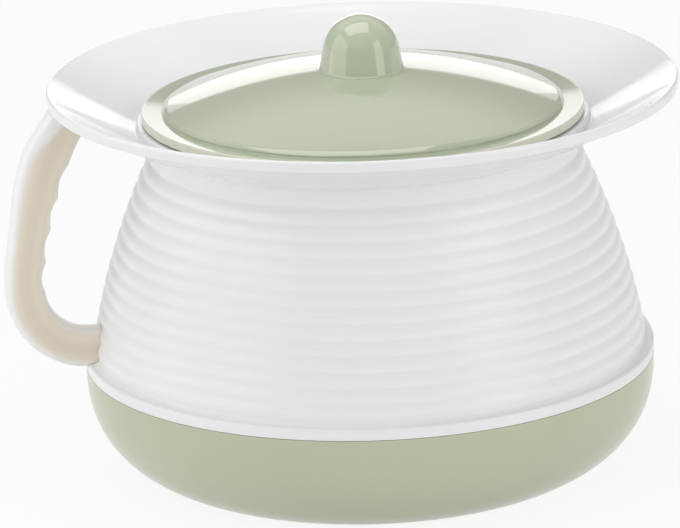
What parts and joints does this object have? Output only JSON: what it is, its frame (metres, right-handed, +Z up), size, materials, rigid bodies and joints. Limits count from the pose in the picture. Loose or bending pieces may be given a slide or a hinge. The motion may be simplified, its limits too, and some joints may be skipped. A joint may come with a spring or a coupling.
{
  "type": "chamber pot",
  "caption": "Round lidded pot with a coloured base bowl, a ribbed tapering wall, a wide dished seat rim, a finger-grip side handle and a lift-off domed lid with a knob.",
  "frame": {"origin": "on the floor, under the pot's axis, in the plane of the foot ring", "axes": "+Z up along the pot's axis, handle towards -X"},
  "size_m": [0.3242, 0.3, 0.221],
  "materials": {
    "bowl_green": "smooth moulded plastic, soft gloss, sage green",
    "seal_rubber": "soft matt seal",
    "wall_white": "satin moulded plastic, white",
    "rim_white": "polished moulded plastic, white",
    "handle_ivory": "satin moulded plastic, ivory",
    "lid_green": "polished moulded plastic, sage green",
    "screw_steel": "plain stainless steel"
  },
  "bodies": {
    "pot": {"base_bowl": "bowl_green", "base_seal": "seal_rubber", "ribbed_wall": "wall_white", "dished_rim": "rim_white", "handle": "handle_ivory"},
    "cover": {"lid": "lid_green", "knob": "lid_green", "knob_screw": "screw_steel"}
  },
  "joints": [
    {"name": "lid_lift", "type": "slide", "parent": "pot", "child": "cover", "axis": [0, 0, 1], "range_m": [0, 0.12]}
  ]
}
